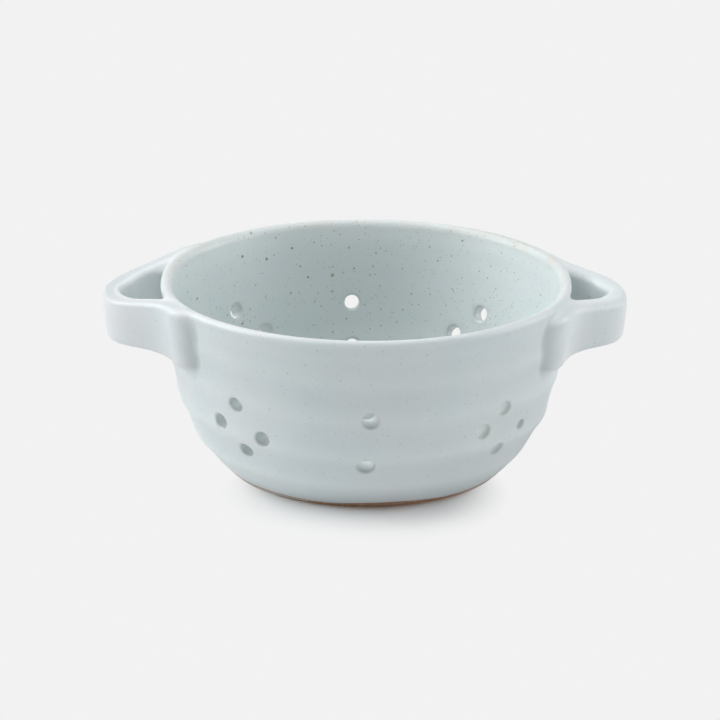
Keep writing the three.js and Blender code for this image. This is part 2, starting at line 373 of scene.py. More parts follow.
holes = {
    "radius": 2.9,                # of those in the floor
    "round": 0.8,                 # rounding of both edges
    "floorRing": 22.0,
    "floorBand": 5.0,             # half width of the band of floor that holds the ring of holes
    "floorCount": 4,
    # painted light in the floor holes
    "floorLitPale": 0.5,
    "wallRows": 4,                # half of the patch that a hole takes from the grid, up and across
    "wallColumns": 4,
    "floorColumns": 12,
    "flat": (0.36, 0.7),          # rings between the patch's edge and the rounding
    "tunnel": (1 / 3, 2 / 3),     # and between the two ends of the tunnel
    "lowerShadeTurn": 65,             # degrees from the right where painted shade gathers, clockwise
    # shares of the glaze's lays and of painted light and painted shade on a hole's rings, seven outside, two
    # in the tunnel and seven inside
    "rings": {
        "inside": [0] * 7 + [0.35, 0.65] + [1] * 7,
        "thin": [0, 0.1, 0.25, 0.45, 0.4, 0.2, 0.1] + [0.1, 0.1] + [0.1, 0.2, 0.4, 0.45, 0.25, 0.1, 0],
        "paleAndLit": [0, 0, 0, 0, 0, 0.1, 0.3] + [0.85, 1] + [1, 0.8, 0.5, 0.2, 0, 0, 0],
        "lowerShade": [0, 0, 0, 0.1, 0.3, 0.5, 0.55] + [0.15, 0] + [0] * 7,
        "tunnel": [0] * 7 + [0.2, 1] + [0] * 7,
        "end": [0] * 9 + [1, 0.9, 0.7, 0.4, 0, 0, 0],
        "wall": [1] * 7 + [0.5, 0] + [0] * 7,
    },
    # each group's degrees from the front, positive to the right, height, radius, share of painted light as
    # pale glaze, and shares of painted shade in the tunnel and at its inner end; then its holes: along and up
    # from there, and how far up the wall and along it the punch came out inside
    "groups": [
        (-40.3, 30.4, 2.8, 0.0, (0.28, 0.35),
         [(0, 9.4, 0.4, 0), (-9.7, 0.3, 0.4, 0), (9.7, -2.2, 0.4, 0), (0, -9.4, 0.6, 0)]),
        (45.2, 29.2, 2.8, 1.0, (0, 0),
         [(-1.4, 8.6, 1.2, -2.5), (-9.4, 0.9, 1.4, -2.5), (0.2, -8.6, 1.4, -2.5)]),
        (45.2, 29.2, 1.9, 0.3, (0.4, 0.5), [(11.2, -1.6, 0.8, 0)]),
        (138.8, 29.2, 2.8, 0.3, (0, 0),
         [(0, 9.4, 0.8, 0), (-9.7, 0.3, 0.8, 0), (11.4, -0.3, 0.8, 0), (0, -9.4, 0.8, 0)]),
        (-134.2, 30.2, 2.8, 0.6, (0, 0),
         [(3.6, 9.8, 1.6, -1.6), (-9.6, -1, 1.6, -1.6), (9.7, 1, 1.6, -1.6), (0, -9.4, 1.6, 0)]),
        (0.4, 30.6, 3.0, 1.0, (0, 0), [(1.3, 9.2, 1.5, -1.4)]),
        (0.4, 30.6, 3.1, 1.0, (0, 0), [(-0.5, -9.9, 1.5, 0)]),
        (90.0, 30.6, 2.8, 0.5, (0, 0), [(0, 9.4, 1.0, 0), (0, -9.4, 1.0, 0)]),
        (184.6, 29.2, 2.8, 0.3, (0, 0), [(0, 9.4, 0.0, 0), (0, -7.6, 0.0, 0)]),
        (-90.0, 30.6, 2.8, 0.5, (0, 0), [(0, 9.4, 1.0, 0), (0, -9.4, 1.0, 0)]),
    ],
}

lean = math.radians(bowl["rimLean"])
rise = math.radians(bowl["footRise"])
floorTop = bowl["recessDepth"] + bowl["floorThickness"]
climb = np.array([math.cos(rise), math.sin(rise)])
leanUp = np.array([math.sin(lean), math.cos(lean)])
leanOut = np.array([math.cos(lean), -math.sin(lean)])
lipHalf = bowl["lipThickness"] / 2
wallFoot = np.array([bowl["footRadius"], 0.0])
wallTop = np.array([bowl["rimRadius"], bowl["rimHeight"]]) - lipHalf * (1 - leanOut)
wallCorners = (wallFoot, wallFoot + bowl["footRun"] * climb, wallTop - bowl["rimRun"] * leanUp, wallTop)
lipCrest = wallTop + lipHalf * leanUp - bowl["lipRound"] * leanOut
lipMiddle = lipCrest - bowl["lipRound"] * leanUp


def wallFace(share):
    # radius and height of the outside at a share of its curve, and the direction square to it
    slope = bezierSlope(wallCorners, share)
    return bezier(wallCorners, share), np.stack([slope[..., 1], -slope[..., 0]], -1)


def wallDepth(share):
    # thickness of the wall, falling evenly from the floor to the lip
    return blend((bowl["wallThickness"], bowl["lipThickness"]), np.asarray(share))


def innerFace(share):
    # the outside pushed in by the wall's thickness
    point, out = wallFace(share)
    return point - out * wallDepth(share)[..., None]


fineShare = np.linspace(0, 1, 1001)
outsideHeight = wallFace(fineShare)[0][:, 1]
innerHeight = innerFace(fineShare)[:, 1]
# the lip's inner edge is a quarter of an ellipse that ends on the inside
easeShare = np.interp(lipHalf - bowl["lipEase"], (innerFace(fineShare) - wallTop) @ leanUp, fineShare)
easeWidth = (lipCrest - innerFace(easeShare)) @ leanOut
easeMiddle = lipCrest - bowl["lipEase"] * leanUp


def outsideRings(turn, height):
    # throwing rings: a cosine of height over the pitch plus the turn and a weaker one of twice that, dying
    # out at the foot and the lip, and bell curves of the height for the grooves under the lip
    b = bowl
    depth = blend(b["ringDepth"], between(height, *b["ringChange"]))
    depth = depth * between(height, *b["ringFoot"]) * between(height, *b["ringLip"])
    phase = 2 * math.pi * height / b["ringPitch"] + turn + b["ringStart"]
    share, start = b["ringSecond"]
    wave = np.cos(phase) + share * np.cos(2 * phase + start)
    groove = sum(deep * bell(height, middle, width) for middle, width, deep in b["grooves"])
    swing, deepest = b["grooveSwing"]
    return depth * wave - groove * (1 + swing * np.cos(turn - deepest))


def layer(zone, height):
    # a share of glaze that comes in between two heights
    share, start, end = zone
    return share * between(height, start, end)


def wallTint(points):
    # pale and thick glaze on the outside, with painted light and shade: pale glaze on the rings' crests and
    # painted light low down, thick glaze between the rings and painted shade up the wall
    turn, height = np.arctan2(points[..., 0], -points[..., 1]), points[..., 2]
    push = outsideRings(turn, height)
    pale = lay["crests"] * np.maximum(push, 0) + layer(lay["low"], height)
    thick = lay["grooves"] * np.maximum(-push, 0) + layer(lay["high"], height)
    return np.stack([pale, thick]) * between(height, *lay["lip"])


def floorShade(points):
    # painted shade on the floor that dies out up the cove
    return layer(lay["floor"], points[..., 2])


def innerRings(turn, height):
    # finer rings inside, the same cosine at a closer pitch
    fade = between(height, *bowl["innerFoot"]) * between(height, *bowl["innerLip"])
    return bowl["innerDepth"] * fade * np.cos(2 * math.pi * height / bowl["innerPitch"] + turn)


def handlePress(turn, height):
    # how far the wall is drawn in beside each handle: a bell curve of the turn from it, dying out downwards
    away = np.arccos(np.abs(np.sin(turn)))
    return bowl["pressDepth"] * bell(away, 0, bowl["pressWidth"]) * between(height, *bowl["pressUp"])


def skinWander(turn):
    # how far down the wall the glaze's edge is moved: to its lowest height plus small waves and a few bell
    # curves of the turn
    ripple, waves = bowl["skinRipple"]
    height = bowl["skinLow"] + ripple * np.cos(waves * turn + 1)
    for middle, width, lift in bowl["bare"]:
        away = np.mod(np.degrees(turn) - middle + 180, 360) - 180
        height = height + lift * bell(away, 0, width)
    return (bowl["skinEdge"] - height) / climb[1]


def straight(start, end, count=40):
    # evenly spaced points from start to end
    return np.linspace(start, end, count)


def roundOff(middle, radius, start, end, count=24):
    # points on a circle between two angles in degrees
    angle = np.radians(np.linspace(start, end, count))
    return np.asarray(middle) + radius * np.stack([np.cos(angle), np.sin(angle)], -1)


def bowlStretches():
    # the closed profile in the half plane of radius and height, as stretches with their count of rows:
    # under the floor, round the foot and the glaze's edge, up the outside, over the lip, down the inside,
    # across the floor and down the middle hole
    b = bowl
    rimOfHole = holes["radius"] + holes["round"]
    nearRing = holes["floorRing"] - holes["floorBand"]
    farRing = holes["floorRing"] + holes["floorBand"]
    under = b["recessDepth"]
    corner = np.array([b["footInside"], under]) - b["recessRound"]
    edgeShare = np.interp(b["skinEdge"], outsideHeight, fineShare)
    seatShare = np.interp(b["footHeight"], outsideHeight, fineShare)
    edge, edgeOut = wallFace(edgeShare)
    edgeUp = np.array([-edgeOut[1], edgeOut[0]])
    seat, seatOut = wallFace(seatShare)
    skinSeat = seat - seatOut * b["skin"]
    skinSeat[1] = b["footHeight"]
    bead = np.linspace(0, math.pi, 24)[:, None]
    beadPoints = edge - b["skin"] / 2 * (edgeOut + edgeOut * np.cos(bead) + edgeUp * np.sin(bead))
    outShare = np.linspace(edgeShare, 1, 600)
    quarter = np.linspace(0, math.pi / 2, 40)[:, None]
    lip = np.concatenate([
        lipMiddle + b["lipRound"] * (leanOut * np.cos(quarter) + leanUp * np.sin(quarter)),
        easeMiddle + b["lipEase"] * leanUp * np.cos(quarter[1:]) - easeWidth * leanOut * np.sin(quarter[1:]),
    ])
    coveShare = np.interp(floorTop + b["coveHeight"], innerHeight, fineShare)
    inShare = np.linspace(easeShare, coveShare, 500)
    coveTop = innerFace(coveShare)
    slope = bezierSlope(wallCorners, coveShare)
    coveCorner = np.array([coveTop[0] - slope[0] / slope[1] * (coveTop[1] - floorTop), floorTop])
    coveEnd = coveCorner - np.array([np.linalg.norm(coveCorner - coveTop), 0])
    c = np.linspace(0, 1, 60)[:, None]
    cove = (1 - c) ** 2 * coveTop + 2 * (1 - c) * c * coveCorner + c ** 2 * coveEnd
    upper = [rimOfHole, floorTop - holes["round"]]
    lower = [rimOfHole, under + holes["round"]]
    return {
        "underIn": (6, straight([rimOfHole, under], [nearRing, under])),
        "underRing": (8, straight([nearRing, under], [farRing, under])),
        "underOut": (7, straight([farRing, under], [corner[0], under])),
        "recess": (4, roundOff(corner, b["recessRound"], 90, 0)),
        "recessWall": (2, straight([b["footInside"], corner[1]], [b["footInside"], b["footHeight"]])),
        "seat": (3, straight([b["footInside"], b["footHeight"]], skinSeat)),
        "skin": (2, straight(skinSeat, beadPoints[0])),
        "bead": (5, beadPoints),
        "outside": (66, wallFace(outShare)[0]),
        "lipEdge": (1, straight(wallTop, lip[0], 4)),
        "lip": (18, lip),
        "inside": (52, innerFace(inShare)),
        "cove": (7, cove),
        "floorOut": (8, straight(coveEnd, [farRing, floorTop])),
        "floorRing": (8, straight([farRing, floorTop], [nearRing, floorTop])),
        "floorIn": (6, straight([nearRing, floorTop], [rimOfHole, floorTop])),
        "holeTop": (4, roundOff(upper, holes["round"], 90, 180)),
        "holeSide": (3, straight([holes["radius"], upper[1]], [holes["radius"], lower[1]])),
        "holeFoot": (4, roundOff(lower, holes["round"], 180, 270)),
    }, outShare, inShare


stretches, outShare, inShare = bowlStretches()
runOf, rowOf, profile, stations = {}, {}, [], []
run = 0.0
for stretchName, (rows, line) in stretches.items():
    lengths = np.r_[0, np.cumsum(np.linalg.norm(np.diff(line, axis=0), axis=1))]
    runOf[stretchName] = run + lengths
    rowOf[stretchName] = len(stations)
    outside = np.full(len(line), float(stretchName == "outside"))
    inside = np.full(len(line), float(stretchName == "inside"))
    slide = np.full(len(line), float(stretchName == "bead"))
    if stretchName == "outside":
        slide = ease(1 - (line[:, 1] - bowl["skinEdge"]) / (bowl["skinFade"] - bowl["skinEdge"]))
    if stretchName == "skin":
        slide = np.linspace(0, 1, len(line))
    way = np.gradient(line, axis=0)
    way = way / np.linalg.norm(way, axis=1, keepdims=True)
    profile.append(np.column_stack([run + lengths, line, way[:, 1], -way[:, 0], outside, inside, slide]))
    stations.extend(run + np.interp(np.arange(rows) / rows, lengths / lengths[-1], lengths))
    run += lengths[-1]
profile = np.concatenate(profile)
stations = np.array(stations)


def bowlPoint(turn, station):
    # a point of the bowl: the profile at a station turned about the axis, where nought is the front and
    # a positive turn goes right, with the throwing rings along the wall's own direction
    turn, station = np.broadcast_arrays(turn, station)
    radius, height, outRadius, outHeight, outside, inside, slide = (
        np.interp(station, profile[:, 0], column) for column in profile.T[1:])
    push = outside * outsideRings(turn, height) - inside * innerRings(turn, height)
    down = slide * skinWander(turn)
    radius = radius + outRadius * push - climb[0] * down - handlePress(turn, height)
    height = height + outHeight * push - climb[1] * down
    return np.stack([radius * np.sin(turn), -radius * np.cos(turn), height], -1)


def wallHole(degrees, height, radius, litPale, shade, along, lift, swing):
    # a hole through the wall at a height and a distance along from an angle, its inner end moved up and along
    share = np.interp(height, outsideHeight, fineShare)
    outer, out = wallFace(share)
    turn = math.radians(degrees) + along / outer[0]
    outStation = np.interp(share, outShare, runOf["outside"])
    inStation = np.interp(-share, -inShare, runOf["inside"]) - lift
    return {
        "turn": turn,
        "inTurn": turn + swing / outer[0],
        "radius": radius,
        "litPale": litPale,
        "shade": shade,
        "tint": 1.0,
        "axis": np.array([out[0] * math.sin(turn), -out[0] * math.cos(turn), out[1]]),
        "outRadius": outer[0],
        "inRadius": innerFace(share)[0],
        "outStation": outStation,
        "inStation": inStation,
        "outRow": int(np.abs(stations - outStation).argmin()),
        "inRow": int(np.abs(stations - inStation).argmin()),
        "halfRows": holes["wallRows"],
        "halfColumns": holes["wallColumns"],
    }


def floorHole(number):
    # one of the ring of holes straight through the floor
    half = holes["wallRows"]
    outRow = rowOf["underRing"] + half
    inRow = rowOf["floorRing"] + half
    turn = 2 * math.pi * (number + 0.5) / holes["floorCount"]
    return {
        "turn": turn,
        "inTurn": turn,
        "radius": holes["radius"],
        "litPale": holes["floorLitPale"],
        "shade": (0, 0),
        "tint": 0.0,
        "axis": np.array([0.0, 0.0, -1.0]),
        "outRadius": holes["floorRing"],
        "inRadius": holes["floorRing"],
        "outStation": stations[outRow],
        "inStation": stations[inRow],
        "outRow": outRow,
        "inRow": inRow,
        "halfRows": half,
        "halfColumns": holes["floorColumns"],
    }


def drainHoles():
    # the ring of holes in the floor, then the groups in the wall
    found = [floorHole(number) for number in range(holes["floorCount"])]
    for degrees, height, radius, litPale, shade, group in holes["groups"]:
        found.extend(wallHole(degrees, height + up, radius, litPale, shade, along, lift, swing)
                     for along, up, lift, swing in group)
    return found


def patchEdge(hole):
    # steps across and up round the patch that the hole takes out, anticlockwise from its lower left
    wide, tall = hole["halfColumns"], hole["halfRows"]
    across = np.arange(-wide, wide)
    up = np.arange(-tall, tall)
    return (
        np.concatenate([across, np.full(2 * tall, wide), -across, np.full(2 * tall, -wide)]),
        np.concatenate([np.full(2 * wide, -tall), up, np.full(2 * wide, tall), -up]),
    )


def holeRings(hole, columnStep):
    # rings from the outer patch's edge to a circle, round its edge into the tunnel, and out the same way
    # inside: radius plus rounding less rounding times the sine, depth rounding less its cosine
    across, up = patchEdge(hole)
    columns = [round(hole[end] / columnStep) for end in ("turn", "inTurn")]
    turnAway, inTurnAway = ((column + across) * columnStep - hole[end]
                            for column, end in zip(columns, ("turn", "inTurn")))
    outUp = stations[hole["outRow"] + up] - hole["outStation"]
    inUp = hole["inStation"] - stations[hole["inRow"] - up]
    angle = np.arctan2(outUp, turnAway * hole["outRadius"])
    bend = np.radians([0, 22.5, 45, 67.5, 90])[:, None]
    radius = hole["radius"] + holes["round"] * (1 - np.sin(bend))
    depth = (holes["round"] * (1 - np.cos(bend)))[..., None]

    def face(side, sideTurn, sideAway, sideRadius, sideUp, station):
        # rings on one face: shares of the way from the patch's edge to the circle, then the rounding, laid on
        # the bowl's surface and sunk along the hole's axis
        far = np.stack([sideAway * sideRadius, sideUp])
        near = radius[0] * np.stack([np.cos(angle), np.sin(angle)])
        flat = [far + (near - far) * share for share in holes["flat"]]
        ringAcross = np.concatenate([[ring[0] for ring in flat], radius * np.cos(angle)])
        ringUp = np.concatenate([[ring[1] for ring in flat], radius * np.sin(angle)])
        sunk = np.concatenate([np.zeros((len(flat), 1, 1)), depth])
        surface = bowlPoint(sideTurn + ringAcross / sideRadius, station + side * ringUp)
        return surface - side * sunk * hole["axis"]

    outer = face(1, hole["turn"], turnAway, hole["outRadius"], outUp, hole["outStation"])
    inner = face(-1, hole["inTurn"], inTurnAway, hole["inRadius"], inUp, hole["inStation"])[::-1]
    tunnel = [blend((outer[-1], inner[0]), share) for share in holes["tunnel"]]
    rings = np.concatenate([outer, tunnel, inner])
    # glaze is thin round both edges; painted shade lies in the lower part of the outer edge, in the tunnel
    # and at its inner end, and painted light further in
    share = {name: np.array(values, float)[:, None] for name, values in holes["rings"].items()}
    lower = 0.5 + 0.5 * np.cos(angle + math.radians(holes["lowerShadeTurn"]))
    pale, thick = wallTint(rings) * share["wall"] * hole["tint"]
    tunnelShade, endShade = hole["shade"]
    deep = share["lowerShade"] * lower + share["tunnel"] * tunnelShade + share["end"] * endShade
    marks = {
        "inside": share["inside"] + 0 * lower,
        "thin": share["thin"] + 0 * lower,
        "paleAndLit": share["paleAndLit"] * hole["litPale"] + pale,
        "deep": deep + thick + floorShade(rings) * share["inside"],
    }
    return rings.reshape(-1, 3), {name: values.ravel() for name, values in marks.items()}, columns


def ringFaces(rows):
    # four cornered faces between each row of point numbers and the next, closed round each row
    ahead = np.roll(rows, -1, axis=1)
    return np.stack([rows[:-1], ahead[:-1], ahead[1:], rows[1:]], -1).reshape(-1, 4)


def makeBowl():
    # every station of the profile turned round the axis, less a patch at each hole, plus the holes' rings
    count = bowl["columns"]
    step = 2 * math.pi / count
    turn = np.arange(count) * step
    points = bowlPoint(turn[None, :], stations[:, None])
    numbers = np.arange(points.size // 3).reshape(len(stations), count)
    kept = np.ones(numbers.shape, bool)
    row = np.arange(len(stations))[:, None]

    def band(start, end, rise=1, fall=1):
        # one on the rows after start and before end, coming in and dying out over a count of rows
        return ease((row - start) / rise) * ease((end - row) / fall)

    lip, inside, holeSide = rowOf["lip"], rowOf["inside"], rowOf["holeSide"]
    insideRows = band(lip + 3, holeSide, rise=14)
    lipRows = band(lip + 2, inside + 3, rise=6, fall=9)
    lipLightRows = band(lip, inside + 11, rise=6, fall=18)
    downRows = band(inside, rowOf["cove"] - 1, rise=10, fall=16)
    edgeRows = band(rowOf["bead"] - 1, rowOf["outside"] + 1) + band(rowOf["holeTop"] - 1, holeSide)
    # round the bowl, the lip's painted highlight is strongest at the back; to the right of it the lip gets
    # painted shade and warmer thin glaze instead, with painted light on the inside below
    back, shadedLip = bell(turn, *lay["back"]), bell(turn, *lay["shadedLip"])
    near = insideRows * (1 - lipRows) * layer(lay["shadedLipLightNear"], points[..., 2])
    pale, thick = wallTint(points) * band(rowOf["outside"] - 1, lip)
    # painted light down the middle hole
    pale = pale + band(holeSide - 1, rowOf["holeFoot"])
    pale = pale + lipLightRows * (lay["lipHighlight"] * (1 - shadedLip) + lay["backHighlight"] * back)
    pointSets, faceSets = [points.reshape(-1, 3)], []
    markSets = {
        "inside": insideRows + 0 * turn,
        "thin": lay["edges"] * edgeRows + lipRows * blend(lay["lipThin"], shadedLip),
        "paleAndLit": pale + (lay["shadedLipLightBelow"] * downRows + near) * shadedLip,
        "deep": thick + floorShade(points) * insideRows + lay["shadedLipDark"] * lipRows * shadedLip,
    }
    markSets = {name: [values.ravel()] for name, values in markSets.items()}
    total = numbers.size
    for hole in drainHoles():
        rings, ringMarks, columns = holeRings(hole, step)
        across, up = patchEdge(hole)
        wide = np.arange(-hole["halfColumns"], hole["halfColumns"])
        tall = np.arange(-hole["halfRows"], hole["halfRows"])
        for patchRow, patchColumn in zip((hole["outRow"], hole["inRow"]), columns):
            kept[np.ix_(patchRow + tall, (patchColumn + wide) % count)] = False
        outer = numbers[hole["outRow"] + up, (columns[0] + across) % count]
        inner = numbers[hole["inRow"] - up, (columns[1] + across) % count]
        rows = np.vstack([outer, total + np.arange(len(rings)).reshape(-1, len(across)), inner])
        faceSets.append(ringFaces(rows))
        pointSets.append(rings)
        for name, sets in markSets.items():
            sets.append(ringMarks[name])
        total += len(rings)
    wall = ringFaces(np.vstack([numbers, numbers[:1]])).reshape(len(stations), count, 4)
    faces = np.concatenate([wall[kept]] + faceSets)
    used, faces = np.unique(faces, return_inverse=True)
    marks = {name: np.concatenate(sets)[used] for name, sets in markSets.items()}
    points = np.concatenate(pointSets)[used]
    return meshPiece("glazed_bowl", points, faces.reshape(-1, 4).tolist(), marks, glaze)


bowlPiece = makeBowl()
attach(bowlPiece, "root")
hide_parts("bowl_body")


# Turned foot

foot = {
    "clear": 0.02,                # below the underside of the wall
    "top": 4.2,                   # the bare clay goes on behind the glaze up to here
    "behind": 0.25,               # and lies this deep
    "seatIn": 2.5,                # the ring's top begins this far in from there
    "toe": 0.4,                   # rounding at the table, outside
    "heel": 0.8,                  # rounding at the table, inside
    "columns": 240,
    "chatter": 0.025,             # marks left by the turning tool
    "chatterWaves": (5, 9),       # round the ring, and to the millimetre across it
    "chatterZone": (0.1, 1.2),    # heights that they lie between
}


def makeFoot():
    # the ring's profile turned about the axis: the wall's line behind the glaze, both lower corners rounded
    top = bowl["footHeight"] - foot["clear"]
    behind, out = wallFace(np.interp(np.linspace(foot["toe"], foot["top"], 8), outsideHeight, fineShare))
    behind = behind - out * foot["behind"]
    toe = [behind[0, 0] - foot["toe"], foot["toe"]]
    heel = [bowl["footInside"] + foot["heel"], foot["heel"]]
    seat = [behind[-1, 0] - foot["seatIn"], top]
    line = np.concatenate([
        straight([bowl["footInside"], top], [bowl["footInside"], foot["heel"]], 4)[:-1],
        roundOff(heel, foot["heel"], 180, 270, 7)[:-1],
        straight([heel[0], 0], [toe[0], 0], 10)[:-1],
        roundOff(toe, foot["toe"], 270, 360, 8)[:-1],
        behind,
        straight(seat, [bowl["footInside"], top], 5)[:-1],
    ])
    turn = np.arange(foot["columns"]) * 2 * math.pi / foot["columns"]
    radius, height = line[:, :1], line[:, 1:]
    around, outwards = foot["chatterWaves"]
    low, high = foot["chatterZone"]
    mark = foot["chatter"] * np.sin(around * turn + outwards * radius) * ((height > low) & (height < high))
    radius = radius + mark
    points = np.stack([radius * np.sin(turn), -radius * np.cos(turn), height + 0 * turn], -1)
    numbers = np.arange(points.size // 3).reshape(points.shape[:2])
    faces = ringFaces(np.vstack([numbers, numbers[:1]]))
    return meshPiece("bare_foot", points.reshape(-1, 3), faces.tolist(), {}, bareClay)


footPiece = makeFoot()
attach(footPiece, "root")
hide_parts("foot_ring")


# Strap handles

strap = {
    "rootThickness": 9.2,
    "tabThickness": 2.0,          # at the end, inside the wall
    "tabSink": 4.6,               # the end lies this deep
    "rootRun": 17.4,              # pull of the wall's direction on the end of the loop
    "frontToBack": (-15, 15),     # from the front root's sizes to the back root's
    "topClimb": (0.15, 1.0),      # shares of the way to a root between which the top climbs
    # powers of that share by which the strap thickens, its bottom falls and arches, and its top edge rounds
    "thickPower": 1.5,
    "bottomPower": 3,
    "archPower": 1.6,
    "edgePower": 3,
    "crown": 0.5,                 # swell of the outer face
    "outerBottom": 2.4,           # rounding of the lower edges
    "innerBottom": 1.8,
    "bendFill": 1.6,              # more clay inside the bends of the loop
    "bendAt": 0.26,
    "bendSpread": 0.16,
    "crestEnd": 0.4,              # the strap ends this far inside the crest of the lip
    # slip smoothed into the corners with the wall, and where each comes in: heights from the rim, distances
    # across the strap, heights from the root's bottom, and for all of them distances from the crest
    "melt": {"gapTop": 3.0, "side": 4.6, "foot": 6.0},
    "meltHigh": (-5, -1),
    "meltOut": (-2, 2),
    "meltFoot": (4, 0),
    "meltCrest": (-1.2, 0.8),
    "meltLeast": 0.02,
    "lap": 8.5,                   # a skin laps on to the wall as far as this
    "lapDepth": 1.6,
    "sunk": (0.02, 0.1),          # it lies under the wall's surface, near the strap and far from it
    "sunkFar": (3.0, 7.5),
    "ownTint": (2.1, 0.1),        # distances from the strap between which its own tints come in
    "gapTint": (0, -2),           # and across it, those of its gap side, painted light
    # share of painted shade in the corners, and where it comes in: distances apart of strap and wall,
    # distances across, heights from the rim and from the root's bottom
    "deep": 0.45,
    "deepNear": (5, 0),
    "deepOut": (0, 3),
    "deepHigh": (1, -8),
    "deepFoot": (0, 3),
    "low": (54.0, -53.0, 36.0),   # box of the grid about a handle that points along +X
    "high": (98.5, 53.0, 72.8),
    "step": 0.6,
    "pathStep": 0.3,
}

# pairs are for the front root and the back one, but of outerTop for the tip and the roots, of tabClose for
# the top and the bottom, and of the painted light for the outer face and the gap side
handles = [
    {"name": "left_strap", "node": "left_handle", "heading": 180, "rootAngle": 27.5, "loopRun": 21.0,
     "reach": 21.0, "tipTop": 65.5, "rootTop": (70.4, 70.5), "tipBottom": 47.8, "rootBottom": 47.0,
     "arch": 1.7, "thickness": 6.8, "lean": 5.0, "outerTop": (1.3, 3.0), "innerTop": (1.6, 1.6),
     "tabLength": 9.5, "tabClose": (2.0, 3.0), "topMelt": 3.5, "gapMelt": (7.0, 13.0),
     "rosy": 0.3, "paleAndLit": (0.0, 0.55)},
    {"name": "right_strap", "node": "right_handle", "heading": 2, "rootAngle": 23.5, "loopRun": 21.0,
     "reach": 20.3, "tipTop": 65.5, "rootTop": (67.8, 69.6), "tipBottom": 47.9, "rootBottom": 45.0,
     "arch": 1.0, "thickness": 7.2, "lean": 4.0, "outerTop": (3.0, 4.6), "innerTop": (1.8, 3.6),
     "tabLength": 12.0, "tabClose": (5.0, 3.0), "topMelt": 5.0, "gapMelt": (7.0, 7.0),
     "rosy": 0.2, "paleAndLit": (0.2, 0.35)},
]


def strapPath(handle):
    # a strap in plan from the end of one root round the tip to the other: half is a curve from the tip to the
    # wall, then an arc that sinks into it, and each sample has the section's sizes there
    tip = bowl["rimRadius"] + handle["reach"] - handle["thickness"] / 2
    crest = handle["tipTop"]
    ring = wallFace(np.interp(crest, outsideHeight, fineShare))[0][0]
    root = math.radians(handle["rootAngle"])
    onWall = ring * np.array([math.cos(root), math.sin(root)])
    before = onWall + strap["rootRun"] * np.array([math.sin(root), -math.cos(root)])
    corners = (np.array([tip, 0.0]), np.array([tip, handle["loopRun"]]), before, onWall)
    curve = bezier(corners, np.linspace(0, 1, 400))
    length = np.r_[0, np.cumsum(np.linalg.norm(np.diff(curve, axis=0), axis=1))]
    even = np.linspace(0, length[-1], round(length[-1] / strap["pathStep"]))
    curve = np.stack([np.interp(even, length, axis) for axis in curve.T], -1)
    tab = np.linspace(0, 1, round(handle["tabLength"] / strap["pathStep"]) + 1)[1:]
    angle = root + tab * handle["tabLength"] / ring
    tab = 1 - np.sqrt(1 - tab ** 2)
    arc = (ring - strap["tabSink"] * tab)[:, None] * np.stack([np.cos(angle), np.sin(angle)], -1)
    half = np.concatenate([curve, arc])
    loop = np.r_[even / even[-1], np.ones(len(tab))]
    tab = np.r_[np.zeros(len(even)), tab]
    way = np.concatenate([half[:0:-1] * [1, -1], half])
    loop = np.r_[loop[:0:-1], loop]
    tab = np.r_[tab[:0:-1], tab]
    slope = np.gradient(way, axis=0)
    slope = slope / np.linalg.norm(slope, axis=1, keepdims=True)
    thick = blend((handle["thickness"], strap["rootThickness"]), loop ** strap["thickPower"])
    toBack = between(way[:, 1] * math.cos(math.radians(handle["heading"])), *strap["frontToBack"])
    rootTop, innerTop, gapMelt = (blend(handle[key], toBack) for key in ("rootTop", "innerTop", "gapMelt"))
    # the top edge climbs to the rim in a late soft step, the bottom edge arches a little on its way
    closeTop, closeBottom = handle["tabClose"]
    top = blend((crest, rootTop), between(loop, *strap["topClimb"])) - closeTop * tab
    bottom = blend((handle["tipBottom"], handle["rootBottom"]), loop ** strap["bottomPower"])
    bottom = bottom + handle["arch"] * np.sin(math.pi * loop ** strap["archPower"]) + closeBottom * tab
    fill = strap["bendFill"] * bell(loop, strap["bendAt"], strap["bendSpread"])
    return {
        "x": way[:, 0],
        "y": way[:, 1],
        "wayX": slope[:, 0],
        "wayY": slope[:, 1],
        "thick": blend((thick, strap["tabThickness"]), tab) + fill,
        "inwards": fill / 2,
        "middle": (top + bottom) / 2,
        "tall": top - bottom,
        "outerTop": blend(handle["outerTop"], loop ** strap["edgePower"]),
        "innerTop": innerTop,
        "gapMelt": gapMelt,
        "tilt": np.tan(np.radians(blend((handle["lean"], bowl["rimLean"]), loop))),
    }


def strapField(handle, path, x, y, z):
    # distance from a strap, how far out across it, and the melt in its gap: the nearest sample in plan gives
    # the section, a box with rounded edges and a swollen outer face that leans out, and past the last sample
    # the way beyond counts too
    nearest = ((x[..., None] - path["x"]) ** 2 + (y[..., None] - path["y"]) ** 2).argmin(-1)
    at = {key: values[nearest] for key, values in path.items()}
    alongX, alongY = x - at["x"], y - at["y"]
    along = alongX * at["wayX"] + alongY * at["wayY"]
    past = np.where(nearest == 0, -along, np.where(nearest == len(path["x"]) - 1, along, -strap["lap"]))
    up = z - at["middle"]
    across = alongX * at["wayY"] - alongY * at["wayX"] - (z - handle["tipTop"]) * at["tilt"] + at["inwards"]
    swollen = across + strap["crown"] * (2 * up / at["tall"]) ** 2 * (across > 0)
    outer = np.where(up > 0, at["outerTop"], strap["outerBottom"])
    inner = np.where(up > 0, at["innerTop"], strap["innerBottom"])
    edge = np.minimum(np.where(across > 0, outer, inner), at["thick"] / 2)
    beyondX = np.abs(swollen) - at["thick"] / 2 + edge
    beyondZ = np.abs(up) - at["tall"] / 2 + edge
    corner = np.hypot(np.maximum(beyondX, 0), np.maximum(beyondZ, 0))
    gap = np.maximum(np.minimum(np.maximum(beyondX, beyondZ), 0) + corner - edge, past)
    return gap, across, at["gapMelt"]


